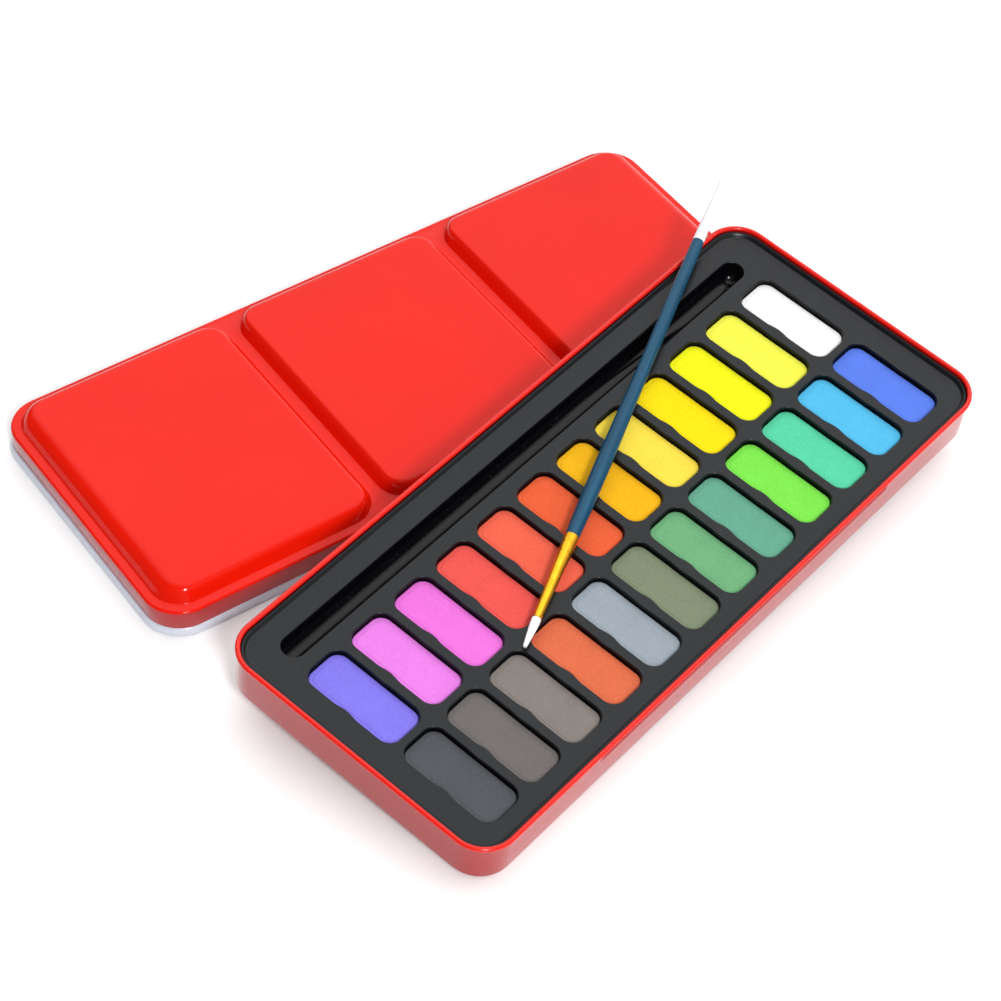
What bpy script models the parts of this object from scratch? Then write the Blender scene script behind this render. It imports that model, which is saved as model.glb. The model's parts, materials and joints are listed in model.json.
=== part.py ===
"""Watercolour pan set: a red lacquered tin of twenty-four pans in a black insert,
leaning on its own slip lid, with a round brush lying across the pans.

Units are metres (lengths below are written in millimetres times MM), +Z is up and
the set stands on Z = 0. +X runs along the tin's long side, from the violet pan to the
white one. The tin rests with one long side on the lid, so it leans about the line of
the lid's long edge. Three frames are used: the tin's (centre of its underside), the
lid's (centre of its footprint, open side down) and the brush's (tip of the hairs,
+X along the handle).
"""
import math

import bmesh
import bpy
from mathutils import Matrix, Vector

MM = 0.001

# ---- where the pieces lie -------------------------------------------------
LID_CENTRE = (3.0 * MM, 33.2 * MM)
TIN_CENTRE = (-10.95 * MM, -58.3 * MM)
LID_TURN = math.radians(-14.55)
TIN_LEAN = math.radians(7.1)
CLEARANCE = 0.3 * MM

# ---- tin ------------------------------------------------------------------
TIN_LENGTH = 225.0 * MM
TIN_WIDTH = 96.4 * MM
TIN_HEIGHT = 15.6 * MM
TIN_CORNER = 11.0 * MM
TIN_SHEET = 0.5 * MM
RIM_WIDTH = 2.06 * MM
WALL_INSET = 0.66 * MM
FLOOR_ROUND = 1.5 * MM
BEAD_LENGTH = 131.0 * MM
BEAD_HEIGHT = 2.8 * MM
BEAD_PROUD = 0.5 * MM
BEAD_BELOW_RIM = 4.2 * MM

# ---- black pan insert -----------------------------------------------------
FLANGE_DROP = 2.3 * MM
INSERT_SHEET = 0.8 * MM
LIP_RISE = 1.1 * MM
LIP_WIDTH = 1.6 * MM
COLUMNS = 12
WELL_PITCH = 17.23 * MM
WELL_LENGTH = 32.1 * MM
WELL_WIDTH = 14.1 * MM
WELL_CORNER = 4.0 * MM
WELL_DRAFT = 0.2 * MM
WELL_DEPTH = 7.8 * MM
WELL_ROWS = (("a", 10.6 * MM), ("b", -24.2 * MM))
LAYOUT_SHIFT = -0.5 * MM
NUB_LENGTH = 5.2 * MM
NUB_PROUD = 0.8 * MM
GROOVE_LENGTH = 199.4 * MM
GROOVE_WIDTH = 7.2 * MM
GROOVE_DEPTH = 6.6 * MM
GROOVE_Y = 35.0 * MM

# ---- paint cakes ----------------------------------------------------------
CAKE_DROP = 1.5 * MM
CAKE_EDGE = 0.45 * MM

# ---- lid ------------------------------------------------------------------
LID_GAP = 0.6 * MM
LID_HEIGHT = 10.0 * MM
LID_SHEET = 0.4 * MM
CURL_OUT = 1.64 * MM
CURL_HEIGHT = 2.3 * MM
PANEL_RISE = 4.6 * MM
PANEL_HALF_LENGTH = 32.0 * MM
PANEL_HALF_WIDTH = 42.2 * MM
PANEL_CORNER = 4.0 * MM
PANEL_CENTRES = (-74.0 * MM, 0.0, 74.0 * MM)
PANEL_SLOPE = ((3.5, 0.0), (3.1, 0.1), (2.7, 0.33), (2.1, 0.62), (1.4, 0.84), (0.7, 0.96), (0.0, 1.0))

# ---- brush ----------------------------------------------------------------
BRUSH_TIP = (-53.9 * MM, -10.5 * MM, 15.2 * MM)
BRUSH_TURN = math.radians(21.5)
BRUSH_RISE = math.radians(0.9)
HAIR_LENGTH = 10.0 * MM
FERRULE_END = 39.8 * MM
HAIR_PROFILE = ((0.0, 1.0), (0.7, 1.25), (4.0, 1.8), (7.6, 2.4), (10.0, 2.55))
FERRULE_PROFILE = ((10.0, 2.8), (19.0, 3.2), (29.0, 3.8), (32.9, 4.05), (33.4, 3.85),
                   (33.9, 4.1), (36.1, 4.25), (36.6, 4.05), (37.1, 4.3), (39.8, 4.5))
FERRULE_WALL = 0.3 * MM
HANDLE_PROFILE = ((40.1, 4.3), (45.0, 4.5), (55.0, 4.75), (65.0, 4.85), (78.0, 4.65),
                  (92.0, 4.25), (105.0, 4.05), (128.0, 4.0), (145.0, 3.8), (158.8, 3.6),
                  (170.0, 3.2), (180.0, 2.7), (185.5, 2.2), (187.0, 1.4), (187.4, 0.7))
TENON_LENGTH = 8.0 * MM
HAIR_ROOT = 6.0 * MM

# ---- facets ---------------------------------------------------------------
BOX_CORNER_STEPS = 6
WELL_CORNER_STEPS = 2
ROUND_SIDES = 14
RIM_STEPS = 9

CAKE_COLOURS = {
    "a": ((0.28, 0.24, 0.98), (0.92, 0.26, 0.90), (0.97, 0.20, 0.84), (0.95, 0.11, 0.09),
          (0.96, 0.14, 0.08), (0.94, 0.14, 0.05), (0.88, 0.46, 0.03), (0.96, 0.85, 0.11),
          (0.97, 0.84, 0.03), (0.96, 0.96, 0.03), (0.97, 0.97, 0.11), (0.97, 0.97, 0.97)),
    "b": ((0.10, 0.11, 0.12), (0.18, 0.17, 0.16), (0.28, 0.25, 0.22), (0.80, 0.17, 0.08),
          (0.38, 0.44, 0.50), (0.25, 0.30, 0.19), (0.20, 0.50, 0.24), (0.16, 0.46, 0.32),
          (0.24, 0.90, 0.09), (0.12, 0.76, 0.44), (0.11, 0.60, 0.96), (0.13, 0.25, 0.97)),
}


def clear_scene():
    for item in list(bpy.data.objects):
        bpy.data.objects.remove(item, do_unlink=True)


def material(name, colour, roughness, metallic=0.0):
    result = bpy.data.materials.new(name)
    result.use_nodes = True
    shader = result.node_tree.nodes["Principled BSDF"]
    shader.inputs["Base Color"].default_value = (*colour, 1.0)
    shader.inputs["Roughness"].default_value = roughness
    shader.inputs["Metallic"].default_value = metallic
    result.diffuse_color = (*colour, 1.0)
    return result


def empty_frame(name, matrix, parent=None):
    frame = bpy.data.objects.new(name, None)
    bpy.context.scene.collection.objects.link(frame)
    frame.parent = parent
    frame.matrix_local = matrix
    return frame


def place(name, mesh_builder, finish, parent):
    """Turn a bmesh into a named object under its frame."""
    bmesh.ops.recalc_face_normals(mesh_builder, faces=mesh_builder.faces)
    mesh = bpy.data.meshes.new(name)
    mesh_builder.to_mesh(mesh)
    mesh_builder.free()
    result = bpy.data.objects.new(name, mesh)
    bpy.context.scene.collection.objects.link(result)
    result.parent = parent
    mesh.shade_smooth()
    mesh.set_sharp_from_angle(angle=math.radians(35.0))
    if finish is not None:
        mesh.materials.append(finish)
    return result


def cut_or_join(target, tool, operation):
    """Boolean with the exact solver; the tool stays as a hidden guide."""
    step = target.modifiers.new(operation.lower(), "BOOLEAN")
    step.operation = operation
    step.solver = "EXACT"
    step.object = tool
    tool.hide_render = True
    tool.display_type = "WIRE"


def ring(half_x, half_y, corner, z, steps, centre=(0.0, 0.0)):
    """Points of a rounded rectangle, anticlockwise seen from above."""
    points = []
    for quarter, (sx, sy) in enumerate(((1, 1), (-1, 1), (-1, -1), (1, -1))):
        for step in range(steps + 1):
            angle = math.radians(90.0) * (quarter + step / steps)
            points.append(Vector((
                centre[0] + sx * (half_x - corner) + corner * math.cos(angle),
                centre[1] + sy * (half_y - corner) + corner * math.sin(angle),
                z)))
    return points


def loft(builder, rings):
    """Skin rings of equal length into one closed body, capped at both ends."""
    rows = [[builder.verts.new(point) for point in points] for points in rings]
    count = len(rows[0])
    for low, high in zip(rows, rows[1:]):
        for here in range(count):
            after = (here + 1) % count
            builder.faces.new((low[here], low[after], high[after], high[here]))
    builder.faces.new(list(reversed(rows[0])))
    builder.faces.new(rows[-1])


def box_rings(half_x, half_y, corner, profile):
    """Rings from (inset, height) pairs measured from one outer outline."""
    return [ring(half_x - inset, half_y - inset, corner - inset, z, BOX_CORNER_STEPS)
            for inset, z in profile]


def turned(builder, profile):
    """A body of revolution about +X from (place, radius) pairs."""
    rings = []
    for place_x, radius in profile:
        rings.append([Vector((place_x,
                              radius * math.cos(math.tau * side / ROUND_SIDES),
                              radius * math.sin(math.tau * side / ROUND_SIDES)))
                      for side in range(ROUND_SIDES)])
    loft(builder, rings)


def in_metres(profile):
    """(place, diameter) in millimetres to (place, radius) in metres."""
    return [(place_x * MM, diameter / 2 * MM) for place_x, diameter in profile]


def tin_height_above_table():
    """Height of the tin's underside centre when its lowest corner touches the table."""
    flat_x = TIN_LENGTH / 2 - TIN_CORNER
    flat_y = TIN_WIDTH / 2 - TIN_CORNER
    reach = TIN_CORNER - WALL_INSET - FLOOR_ROUND
    lean = lean_rotation()
    rise_x = abs((lean @ Vector((1, 0, 0))).z)
    rise_y = abs((lean @ Vector((0, 1, 0))).z)
    return flat_x * rise_x + flat_y * rise_y + reach * math.hypot(rise_x, rise_y)


def lean_rotation():
    lid_edge = Vector((math.cos(LID_TURN), math.sin(LID_TURN), 0.0))
    return Matrix.Rotation(TIN_LEAN, 4, lid_edge)


def tin_base(finish, frame):
    half_x, half_y = TIN_LENGTH / 2, TIN_WIDTH / 2
    roll = RIM_WIDTH / 2
    roll_z = TIN_HEIGHT - roll
    wall_in = WALL_INSET + TIN_SHEET
    outer_start = -math.acos((roll - WALL_INSET) / roll)
    inner_end = math.tau - math.acos((roll - wall_in) / roll)
    profile = [(WALL_INSET + FLOOR_ROUND, 0.0),
               (WALL_INSET + 0.3 * FLOOR_ROUND, 0.3 * FLOOR_ROUND),
               (WALL_INSET, FLOOR_ROUND)]
    for step in range(RIM_STEPS + 1):
        angle = outer_start + (inner_end - outer_start) * step / RIM_STEPS
        profile.append((roll - roll * math.cos(angle), roll_z + roll * math.sin(angle)))
    profile += [(wall_in, FLOOR_ROUND),
                (wall_in + 0.3 * FLOOR_ROUND, TIN_SHEET + 0.25 * FLOOR_ROUND),
                (wall_in + FLOOR_ROUND - TIN_SHEET, TIN_SHEET)]
    builder = bmesh.new()
    loft(builder, box_rings(half_x, half_y, TIN_CORNER, profile))
    tin = place("tin_base", builder, finish, frame)

    beads = bmesh.new()
    for side in (-1, 1):
        wall_y = side * (half_y - WALL_INSET)
        sections = ((-1.0, 0.0), (-0.97, 1.0), (0.97, 1.0), (1.0, 0.0))
        rings = []
        for along, swell in sections:
            x = along * BEAD_LENGTH / 2
            tall = BEAD_HEIGHT / 2 * (0.5 + 0.5 * swell)
            middle = TIN_HEIGHT - BEAD_BELOW_RIM
            inside = wall_y - side * TIN_SHEET / 2
            proud = wall_y + side * (BEAD_PROUD * swell + 0.02 * MM)
            crest = [(inside, -tall), (wall_y, -tall), (proud, -tall / 2),
                     (proud, tall / 2), (wall_y, tall), (inside, tall)]
            rings.append([Vector((x, y, middle + z)) for y, z in crest])
        loft(beads, rings)
    cut_or_join(tin, place("guide_beads", beads, None, frame), "UNION")
    return tin


def well_centres():
    for row, y in WELL_ROWS:
        for column in range(COLUMNS):
            x = LAYOUT_SHIFT + (column - (COLUMNS - 1) / 2) * WELL_PITCH
            yield row, column, (x, y)


def nubbed_ring(shrink, z, proud, centre):
    """A well outline with a small retaining nub at the middle of both long walls."""
    half_x = WELL_WIDTH / 2 - shrink
    half_y = WELL_LENGTH / 2 - shrink
    points = ring(half_x, half_y, WELL_CORNER - shrink, z, WELL_CORNER_STEPS, centre)
    corner_points = WELL_CORNER_STEPS + 1
    nub = [(NUB_LENGTH / 2, 0.0), (NUB_LENGTH / 4, proud),
           (-NUB_LENGTH / 4, proud), (-NUB_LENGTH / 2, 0.0)]
    left = [Vector((centre[0] - half_x + inward, centre[1] + along, z))
            for along, inward in nub]
    right = [Vector((centre[0] + half_x - inward, centre[1] - along, z))
             for along, inward in nub]
    return points[:2 * corner_points] + left + points[2 * corner_points:] + right


def pan_insert(finish, frame):
    flange = TIN_HEIGHT - FLANGE_DROP
    half_x = TIN_LENGTH / 2 - RIM_WIDTH - CLEARANCE
    half_y = TIN_WIDTH / 2 - RIM_WIDTH - CLEARANCE
    corner = TIN_CORNER - RIM_WIDTH - CLEARANCE
    foot = TIN_SHEET + CLEARANCE
    profile = [(LIP_WIDTH, flange), (LIP_WIDTH / 2, flange + 0.8 * LIP_RISE),
               (LIP_WIDTH / 4, flange + LIP_RISE), (0.0, flange + 0.7 * LIP_RISE),
               (0.0, foot), (INSERT_SHEET, foot), (INSERT_SHEET, flange - INSERT_SHEET)]
    builder = bmesh.new()
    loft(builder, box_rings(half_x, half_y, corner, profile))
    insert = place("pan_insert", builder, finish, frame)

    groove = (LAYOUT_SHIFT, GROOVE_Y)
    inside_sheet = flange - INSERT_SHEET / 2
    cups = bmesh.new()
    for _, _, centre in well_centres():
        half = (WELL_WIDTH / 2 + INSERT_SHEET, WELL_LENGTH / 2 + INSERT_SHEET)
        floor = flange - WELL_DEPTH - INSERT_SHEET
        loft(cups, [ring(half[0] - taper, half[1] - taper, WELL_CORNER, z,
                         WELL_CORNER_STEPS, centre)
                    for taper, z in ((0.0, inside_sheet), (WELL_DRAFT, floor))])
    trough_round = GROOVE_WIDTH / 2
    outer_round = trough_round + INSERT_SHEET
    outer_rings = [(0.0, inside_sheet), (0.0, flange - GROOVE_DEPTH + trough_round)]
    inner_rings = [(0.0, flange + 1.0 * MM), (0.0, flange - GROOVE_DEPTH + trough_round)]
    for angle in (30.0, 60.0, 80.0):
        sink = math.sin(math.radians(angle))
        shrink = 1.0 - math.cos(math.radians(angle))
        base = flange - GROOVE_DEPTH + trough_round
        outer_rings.append((outer_round * shrink, base - outer_round * sink))
        inner_rings.append((trough_round * shrink, base - trough_round * sink))
    loft(cups, [ring(GROOVE_LENGTH / 2 + INSERT_SHEET - inset, outer_round - inset,
                     (outer_round - inset) * 0.999, z, 4, groove)
                for inset, z in outer_rings])
    cut_or_join(insert, place("guide_cups", cups, None, frame), "UNION")

    pockets = bmesh.new()
    for _, _, centre in well_centres():
        nub_foot = flange - CAKE_DROP + CLEARANCE
        loft(pockets, [
            nubbed_ring(0.0, flange + 1.0 * MM, NUB_PROUD, centre),
            nubbed_ring(0.0, nub_foot, NUB_PROUD, centre),
            nubbed_ring(0.0, nub_foot - 0.05 * MM, 0.0, centre),
            nubbed_ring(WELL_DRAFT, flange - WELL_DEPTH, 0.0, centre)])
    loft(pockets, [ring(GROOVE_LENGTH / 2 - inset, trough_round - inset,
                        (trough_round - inset) * 0.999, z, 4, groove)
                   for inset, z in inner_rings])
    cut_or_join(insert, place("guide_pockets", pockets, None, frame), "DIFFERENCE")
    return insert


def paint_cakes(frame):
    top = TIN_HEIGHT - FLANGE_DROP - CAKE_DROP
    bottom = TIN_HEIGHT - FLANGE_DROP - WELL_DEPTH + CLEARANCE
    gap = WELL_DRAFT + CLEARANCE
    half_x = WELL_WIDTH / 2 - gap
    half_y = WELL_LENGTH / 2 - gap
    corner = WELL_CORNER - gap
    for row, column, centre in well_centres():
        name = "cake_%s%02d" % (row, column + 1)
        finish = material(name, CAKE_COLOURS[row][column], 0.85)
        builder = bmesh.new()
        loft(builder, [ring(half_x - inset, half_y - inset, corner - inset, z,
                            WELL_CORNER_STEPS)
                       for inset, z in ((0.0, bottom), (0.0, top - CAKE_EDGE),
                                        (CAKE_EDGE, top))])
        cake = place(name, builder, finish, frame)
        cake.location = (centre[0], centre[1], 0.0)


def lid(finish, frame):
    half_x, half_y = TIN_LENGTH / 2 + LID_GAP, TIN_WIDTH / 2 + LID_GAP
    corner = TIN_CORNER + LID_GAP
    profile = [(LID_SHEET + 0.6 * MM, LID_HEIGHT - LID_SHEET),
               (LID_SHEET, LID_HEIGHT - LID_SHEET - 0.6 * MM),
               (LID_SHEET, 0.25 * CURL_HEIGHT),
               (0.05 * MM, 0.0), (-0.6 * CURL_OUT, 0.0),
               (-0.9 * CURL_OUT, 0.2 * CURL_HEIGHT), (-CURL_OUT, 0.5 * CURL_HEIGHT),
               (-0.88 * CURL_OUT, 0.8 * CURL_HEIGHT), (-0.5 * CURL_OUT, CURL_HEIGHT),
               (0.0, CURL_HEIGHT), (0.0, LID_HEIGHT - 1.0 * MM),
               (0.3 * MM, LID_HEIGHT - 0.3 * MM), (1.0 * MM, LID_HEIGHT)]
    builder = bmesh.new()
    loft(builder, box_rings(half_x, half_y, corner, profile))
    shell = place("lid", builder, finish, frame)

    panels, wells = bmesh.new(), bmesh.new()
    for centre_x in PANEL_CENTRES:
        raised, hollow = [], []
        for out, rise in PANEL_SLOPE:
            out *= MM
            raised.append((out, LID_HEIGHT + PANEL_RISE * rise))
            hollow.append((out - LID_SHEET, LID_HEIGHT - LID_SHEET + PANEL_RISE * rise))
        raised.insert(0, (raised[0][0], LID_HEIGHT - LID_SHEET / 2))
        hollow.insert(0, (hollow[0][0], LID_HEIGHT - 2 * LID_SHEET))
        for target, outline in ((panels, raised), (wells, hollow)):
            loft(target, [ring(PANEL_HALF_LENGTH + out, PANEL_HALF_WIDTH + out,
                               PANEL_CORNER + out, z, BOX_CORNER_STEPS, (centre_x, 0.0))
                          for out, z in outline])
    cut_or_join(shell, place("guide_panels", panels, None, frame), "UNION")
    cut_or_join(shell, place("guide_mixing_wells", wells, None, frame), "DIFFERENCE")
    return shell


def brush(finishes, frame):
    hairs = bmesh.new()
    hair_profile = in_metres(HAIR_PROFILE)
    root_radius = FERRULE_PROFILE[0][1] / 2 * MM - FERRULE_WALL - CLEARANCE
    hair_profile[-1] = (HAIR_LENGTH - CLEARANCE, hair_profile[-1][1])
    hair_profile += [(HAIR_LENGTH - CLEARANCE, root_radius),
                     (HAIR_LENGTH + HAIR_ROOT, root_radius)]
    turned(hairs, hair_profile)
    place("brush_hairs", hairs, finishes["hairs"], frame)

    outer = in_metres(FERRULE_PROFILE)
    inner = [(place_x, radius - FERRULE_WALL) for place_x, radius in outer]
    barrel = bmesh.new()
    turned(barrel, outer)
    ferrule = place("brush_ferrule", barrel, finishes["ferrule"], frame)
    bore = bmesh.new()
    inner[0] = (inner[0][0] - 1.0 * MM, inner[0][1])
    inner[-1] = (inner[-1][0] + 1.0 * MM, inner[-1][1])
    turned(bore, inner)
    cut_or_join(ferrule, place("guide_ferrule_bore", bore, None, frame), "DIFFERENCE")

    handle = bmesh.new()
    body = in_metres(HANDLE_PROFILE)
    neck = FERRULE_PROFILE[4][1] / 2 * MM - FERRULE_WALL - CLEARANCE
    turned(handle, [(FERRULE_END - TENON_LENGTH, neck - 0.5 * MM),
                    (body[0][0], neck)] + body)
    place("brush_handle", handle, finishes["handle"], frame)


def build():
    clear_scene()
    red = material("red_lacquer", (0.93, 0.05, 0.03), 0.25)
    black = material("black_plastic", (0.04, 0.042, 0.046), 0.45)
    finishes = {
        "hairs": material("white_hair", (0.95, 0.95, 0.94), 0.6),
        "ferrule": material("gold_ferrule", (0.85, 0.52, 0.06), 0.25, 1.0),
        "handle": material("teal_lacquer", (0.03, 0.17, 0.30), 0.25),
    }
    lid_frame = empty_frame("lid_frame", Matrix.Translation((*LID_CENTRE, 0.0))
                            @ Matrix.Rotation(LID_TURN, 4, "Z"))
    tin_frame = empty_frame("tin_frame", Matrix.Translation(
        (*TIN_CENTRE, tin_height_above_table())) @ lean_rotation())
    brush_frame = empty_frame("brush_frame", Matrix.Translation(BRUSH_TIP)
                              @ Matrix.Rotation(BRUSH_TURN, 4, "Z")
                              @ Matrix.Rotation(-BRUSH_RISE, 4, "Y"), tin_frame)
    lid(red, lid_frame)
    tin_base(red, tin_frame)
    pan_insert(black, tin_frame)
    paint_cakes(tin_frame)
    brush(finishes, brush_frame)


build()
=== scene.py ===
import json
import math

import bmesh
import bpy
import numpy as np
from mathutils import Matrix, Vector, noise


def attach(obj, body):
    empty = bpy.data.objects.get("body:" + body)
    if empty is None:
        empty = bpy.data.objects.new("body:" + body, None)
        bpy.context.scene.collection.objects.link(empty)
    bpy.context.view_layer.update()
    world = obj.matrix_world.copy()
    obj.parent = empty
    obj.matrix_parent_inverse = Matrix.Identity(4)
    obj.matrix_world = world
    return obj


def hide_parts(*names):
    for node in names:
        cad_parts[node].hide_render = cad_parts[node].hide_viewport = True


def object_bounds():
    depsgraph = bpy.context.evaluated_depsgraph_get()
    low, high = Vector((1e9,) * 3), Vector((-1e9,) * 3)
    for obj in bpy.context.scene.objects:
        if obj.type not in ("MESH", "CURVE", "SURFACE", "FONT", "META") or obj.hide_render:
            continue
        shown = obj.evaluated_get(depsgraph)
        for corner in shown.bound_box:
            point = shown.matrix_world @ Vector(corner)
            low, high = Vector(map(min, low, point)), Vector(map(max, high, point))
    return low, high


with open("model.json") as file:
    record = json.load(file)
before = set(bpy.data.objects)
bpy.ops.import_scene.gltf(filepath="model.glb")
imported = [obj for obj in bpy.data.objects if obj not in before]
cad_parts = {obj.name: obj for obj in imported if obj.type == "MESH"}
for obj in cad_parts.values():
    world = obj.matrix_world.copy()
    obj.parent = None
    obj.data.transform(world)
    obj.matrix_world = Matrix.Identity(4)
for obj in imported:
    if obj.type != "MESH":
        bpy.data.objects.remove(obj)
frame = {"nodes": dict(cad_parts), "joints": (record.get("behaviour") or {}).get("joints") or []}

CAD_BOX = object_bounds()
MM = 0.001
UP = Vector((0.0, 0.0, 1.0))

# ---- camera ---------------------------------------------------------------
VIEW_TARGET = Vector((-26.47, -28.56, 18.0)) * MM
VIEW_DISTANCE = 852.4 * MM
VIEW_AZIMUTH = math.radians(50.953)
VIEW_ELEVATION = math.radians(47.138)
VIEW_ROLL = math.radians(2.243)
VIEW_LENS = 107.593

# ---- tin ------------------------------------------------------------------
RIM_ROLL = 0.75 * MM
TIN_CORNER = 11.0 * MM
TIN_SHEET = 0.5 * MM
TIN_WALL_INSET = 0.66 * MM
TIN_FLOOR_ROUND = 1.5 * MM
BEAD_HALF_LENGTH = 65.5 * MM
BEAD_FADE = 2.5 * MM
BEAD_BELOW_RIM = 4.2 * MM
BEAD_HALF_HEIGHT = 1.4 * MM
BEAD_PROUD = 0.5 * MM

# ---- insert ---------------------------------------------------------------
INSERT_SHEET = 0.45 * MM
INSERT_GAP = 0.12 * MM
FLOOR_GAP = 0.3 * MM
FLANGE_DROP = 2.3 * MM
LIP_RISE = 1.1 * MM
LIP_ROUND = 0.3 * MM
LIP_WIDTH = 1.7 * MM
# (in from the insert's side, above the flange) down the lip's inner side, in mm.
LIP_SIDE = ((0.6, 0.93), (0.9, 0.68), (1.15, 0.38), (1.32, 0.12), (1.42, 0.03))
COLUMNS = 12
WELL_PITCH = 17.23 * MM
LAYOUT_SHIFT = -0.5 * MM
WELL_ROWS = (("a", 10.6 * MM), ("b", -24.2 * MM))
WELL_HALF = Vector((7.05, 16.05)) * MM
WELL_MOUTH = Vector((0.25, 0.5)) * MM
WELL_MOUTH_DEPTH = 0.55 * MM
# The flat strip outside a well's mouth.
WELL_MARGIN = Vector((0.12, 0.12)) * MM
WELL_CORNER = 4.0 * MM
WELL_DEPTH = 7.8 * MM
WELL_DRAFT = 0.2 * MM
WELL_FLOOR_ROUND = 0.9 * MM
NUB_HALF_LENGTH = 4.6 * MM
NUB_PROUD = 0.55 * MM
NUB_FAR_SHARE = 0.4
# (depth below the flange in mm, share of the nub that is left) at the foot of a nub.
NUB_FADE = ((0.9, 0.97), (1.15, 0.78), (1.35, 0.4), (1.55, 0.1), (1.8, 0.0))
GROOVE_HALF = Vector((99.7, 3.6)) * MM
GROOVE_Y = 35.0 * MM
GROOVE_DEPTH = 6.6 * MM
GROOVE_MOUTH = 0.45 * MM
# Below this depth the wells and the groove are the shaded plastic.
RECESS_DEPTH = 0.5 * MM

# ---- paint ----------------------------------------------------------------
CAKE_DROP = 1.5 * MM
CAKE_GAP = 0.12 * MM
CAKE_CORNER = 3.7 * MM
CAKE_STRAIGHT = 11.8 * MM
CAKE_CROWN = 0.04 * MM
CAKE_WAVE = 0.05 * MM
# (inset, drop below the top), in mm: up a cake's side and over its edge, border and
# pressed line.
CAKE_SIDE = ((0.25, 5.0), (0.04, 1.2), (0.0, 0.62), (0.07, 0.40), (0.24, 0.25), (0.46, 0.19),
             (0.8, 0.16), (1.08, 0.15), (1.2, 0.17), (1.28, 0.13), (1.42, 0.03), (1.6, 0.0))
# Display colours, 0 to 1 and a little over for the brightest paints: row a from violet to
# white, row b from black to blue.
PAINT = {
    "a": ((0.55, 0.51, 0.98), (0.97, 0.54, 0.96), (0.99, 0.49, 0.92), (0.99, 0.37, 0.34),
          (1.00, 0.42, 0.32), (0.98, 0.41, 0.24), (1.03, 0.77, 0.09), (1.06, 0.94, 0.32),
          (1.07, 0.95, 0.06), (1.03, 1.03, 0.10), (1.03, 1.03, 0.34), (1.06, 1.06, 1.06)),
    "b": ((0.35, 0.36, 0.38), (0.47, 0.45, 0.44), (0.56, 0.53, 0.51), (0.93, 0.46, 0.31),
          (0.65, 0.69, 0.73), (0.53, 0.58, 0.47), (0.47, 0.73, 0.52), (0.43, 0.71, 0.60),
          (0.53, 0.96, 0.33), (0.38, 0.89, 0.70), (0.36, 0.80, 0.99), (0.39, 0.54, 0.99)),
}

# ---- lid ------------------------------------------------------------------
LID_SHEET = 0.4 * MM
LID_CORNER = 11.6 * MM
LID_CURL_OUT = 1.64 * MM
LID_SHOULDER = 0.9 * MM
CURL_MIDDLE = (-0.2 * MM, 1.65 * MM)
CURL_HALF = (0.85 * MM, 1.65 * MM)
CURL_TOP = CURL_MIDDLE[1] + CURL_HALF[1]
PANEL_RISE = 4.6 * MM
PANEL_CREST = 41.9 * MM
PANEL_FOOT = 46.0 * MM
PANEL_CREST_CORNER = 3.5 * MM
PANEL_FOOT_CORNER = 9.5 * MM
# Along the lid, in mm: where each panel's crest starts and ends, and its foot.
PANELS = ((-104.6, -42.6, -110.2, -38.8), (-32.2, 32.3, -35.0, 35.8),
          (42.3, 105.6, 39.7, 110.4))
# (share of the way from crest to foot, share of the rise) up a panel's side.
PANEL_SIDE = ((1.06, 0.0), (1.0, 0.012), (0.97, 0.045), (0.93, 0.115), (0.86, 0.25),
              (0.79, 0.385), (0.72, 0.51), (0.66, 0.6), (0.58, 0.7), (0.5, 0.78),
              (0.4, 0.86), (0.3, 0.92), (0.2, 0.964), (0.1, 0.99), (0.0, 1.0))

# ---- brush ----------------------------------------------------------------
HAIR_LENGTH = 10.0 * MM
FERRULE_END = 39.8 * MM
DIP_START = 158.8 * MM
HANDLE_END = 187.35 * MM
HANDLE_NECK = 1.55 * MM
HANDLE_IN_FERRULE = 8.0 * MM
FERRULE_WALL = 0.3 * MM
CRIMP_RINGS = (33.4, 36.6)
CRIMP_DEPTH = 0.09
CRIMP_WIDTH = 0.35
# Sides of the handle's and the ferrule's rings, and degrees over the handle's round end.
ROUND_SIDES = 40
NOSE_ANGLES = (20, 40, 60, 78)
# The solid tuft is this share of the hairs' width, and the strands cover it.
TUFT_SHARE = 0.94
TUFT_SIDES = 28
STRANDS = 230
STRAND_SIDES = 5
STRAND_STEPS = 8
STRAND_RADIUS = 0.075 * MM
STRAND_TAPER = 0.75
# (place along the brush, diameter), in mm.
HAIR_PROFILE = ((0.0, 0.95), (0.7, 1.2), (2.5, 1.5), (4.5, 1.85), (7.5, 2.4), (10.0, 2.5))
FERRULE_PROFILE = ((10.0, 2.75), (19.0, 3.15), (29.0, 3.75), (35.0, 4.2), (39.8, 4.45))
HANDLE_PROFILE = ((40.1, 4.25), (42.0, 4.35), (45.0, 4.5), (55.0, 4.75), (65.0, 4.85),
                  (78.0, 4.65), (92.0, 4.25), (105.0, 4.05), (128.0, 4.0), (145.0, 3.8),
                  (158.8, 3.6), (170.0, 3.2), (180.0, 2.7), (185.5, 2.15), (186.6, 1.7))

# ---- light ----------------------------------------------------------------
# How bright a matt white top face is under all of it.
LIGHT_LEVEL = 1.40
# No base colour is paler than this.
PALEST = 0.92
LAMP_AZIMUTH = 214.0
LAMP_ELEVATION = 41.5
LAMP_DISTANCE = 1.9
LAMP_SIDE = 0.30
LAMP_WATTS = 21.0
# Soft glows of the room: (towards, cosine where it starts, cosine where it is full, dimmest,
# brightest). The first is high behind the set, the second lower and in front of it.
GLOWS = (((0.58, 0.27, 0.77), 0.45, 0.9, 0.08, 1.66),
         ((0.10, -0.80, 0.59), 0.2, 0.9, 0.04, 0.56))
TABLE_HALF = 2.5


def linear(share):
    """One display value, 0 to 1, as light."""
    return share / 12.92 if share <= 0.04045 else ((share + 0.055) / 1.055) ** 2.4


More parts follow.
